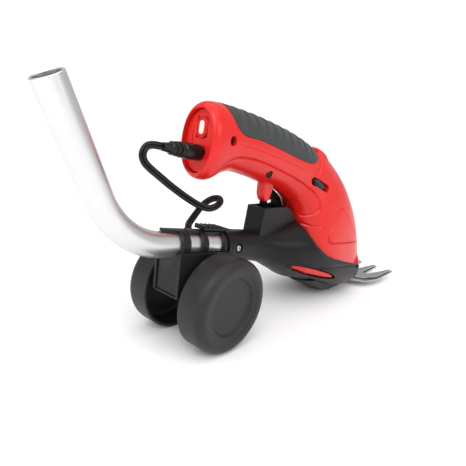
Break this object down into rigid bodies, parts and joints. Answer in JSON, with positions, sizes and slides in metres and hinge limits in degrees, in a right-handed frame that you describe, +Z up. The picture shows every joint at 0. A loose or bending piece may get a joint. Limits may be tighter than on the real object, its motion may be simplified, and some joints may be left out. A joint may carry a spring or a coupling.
{
  "type": "cordless grass shears on guide carriage",
  "caption": "Battery grass shears with trigger and toothed blades, clipped in a two-wheeled carriage on a bent pole, with a short plug-in cable.",
  "frame": {"origin": "on the ground under the middle of the object, pole to blade tips", "axes": "+X forward to the blade tips, +Y to the left, +Z up; the wheel axle runs along Y"},
  "size_m": [0.4474, 0.0898, 0.1893],
  "materials": {
    "red_shell": "glossy bright red ABS with a faint satin break",
    "soft_grip": "matt dark grey overmoulded elastomer",
    "badge": "plain white plaque with no marking",
    "lens": "dark smoked lens",
    "black_plastic": "satin black moulded plastic",
    "cell_wrap": "shrink wrapped cell",
    "board": "green board",
    "gear_nylon": "natural nylon",
    "brass": "machined brass",
    "steel": "plain steel",
    "blade_steel": "ground and brushed blade steel",
    "wheel_plastic": "dark grey moulded plastic",
    "pole_aluminium": "satin anodised aluminium",
    "cable_jacket": "flat twin PVC jacket"
  },
  "bodies": {
    "root": {"axle": "steel", "axle_clip_left": "steel", "axle_clip_right": "steel", "battery_cell": "cell_wrap", "battery_tray": "black_plastic", "blade_base": "black_plastic", "blade_pivot": "steel", "blade_rivet_left": "steel", "blade_rivet_right": "steel", "bracket_clip": "black_plastic", "cable": "cable_jacket", "cable_grommet": "soft_grip", "cable_plug": "black_plastic", "carriage_body": "black_plastic", "charge_socket": "black_plastic", "circuit_board": "board", "comb_blade": "blade_steel", "gear_plate": "black_plastic", "housing_left": "red_shell", "housing_right": "red_shell", "housing_screw_front": "steel", "housing_screw_low": "steel", "housing_screw_nose": "steel", "housing_screw_rear": "steel", "motor": "steel", "pole_screw": "steel", "pole_tube": "pole_aluminium", "rear_badge": "badge", "rear_plate": "red_shell", "soft_grip": "soft_grip", "status_lens": "lens", "trigger_spring": "steel", "trigger_switch": "black_plastic", "wheel_bracket": "black_plastic"},
    "trigger": {"trigger": "red_shell"},
    "lockout": {"lockout_button": "black_plastic"},
    "lever_right": {"release_lever_right": "red_shell"},
    "lever_left": {"release_lever_left": "red_shell"},
    "pinion": {"motor_pinion": "brass"},
    "crank": {"drive_gear": "gear_nylon", "eccentric_shaft": "steel"},
    "cutter": {"cutter_blade": "blade_steel"},
    "wheel_right": {"wheel_right": "wheel_plastic"},
    "wheel_left": {"wheel_left": "wheel_plastic"}
  },
  "joints": [
    {"name": "trigger_press", "type": "slide", "parent": "root", "child": "trigger", "axis": [0, 0, 1], "range_m": [0, 0.0035], "stiffness_N_per_m": 300, "springref_m": -0.004, "deforming": ["trigger_spring"]},
    {"name": "lockout_push", "type": "slide", "parent": "root", "child": "lockout", "axis": [0, 1, 0], "range_m": [0, 0.003], "stiffness_N_per_m": 250, "springref_m": -0.003},
    {"name": "lever_right_press", "type": "slide", "parent": "root", "child": "lever_right", "axis": [0, 1, 0], "range_m": [0, 0.002], "stiffness_N_per_m": 600, "springref_m": -0.002},
    {"name": "lever_left_press", "type": "slide", "parent": "root", "child": "lever_left", "axis": [0, -1, 0], "range_m": [0, 0.002], "stiffness_N_per_m": 600, "springref_m": -0.002},
    {"name": "pinion_spin", "type": "hinge", "parent": "root", "child": "pinion", "pos_m": [0.0701, 0, 0.06], "axis": [0, 0, 1], "continuous": true},
    {"name": "gear_spin", "type": "hinge", "parent": "root", "child": "crank", "pos_m": [0.0893, 0, 0.06], "axis": [0, 0, 1], "continuous": true},
    {"name": "cutter_swing", "type": "hinge", "parent": "root", "child": "cutter", "pos_m": [0.1171, 0, 0.0096], "axis": [0, 0, 1], "range_deg": [-5, 5]},
    {"name": "wheel_right_roll", "type": "hinge", "parent": "root", "child": "wheel_right", "pos_m": [-0.0899, -0.03, 0.0375], "axis": [0, 1, 0], "continuous": true},
    {"name": "wheel_left_roll", "type": "hinge", "parent": "root", "child": "wheel_left", "pos_m": [-0.0899, 0.03, 0.0375], "axis": [0, 1, 0], "continuous": true}
  ],
  "couplings": [
    {"joint": "pinion_spin", "follows": "gear_spin", "ratio": -3}
  ]
}
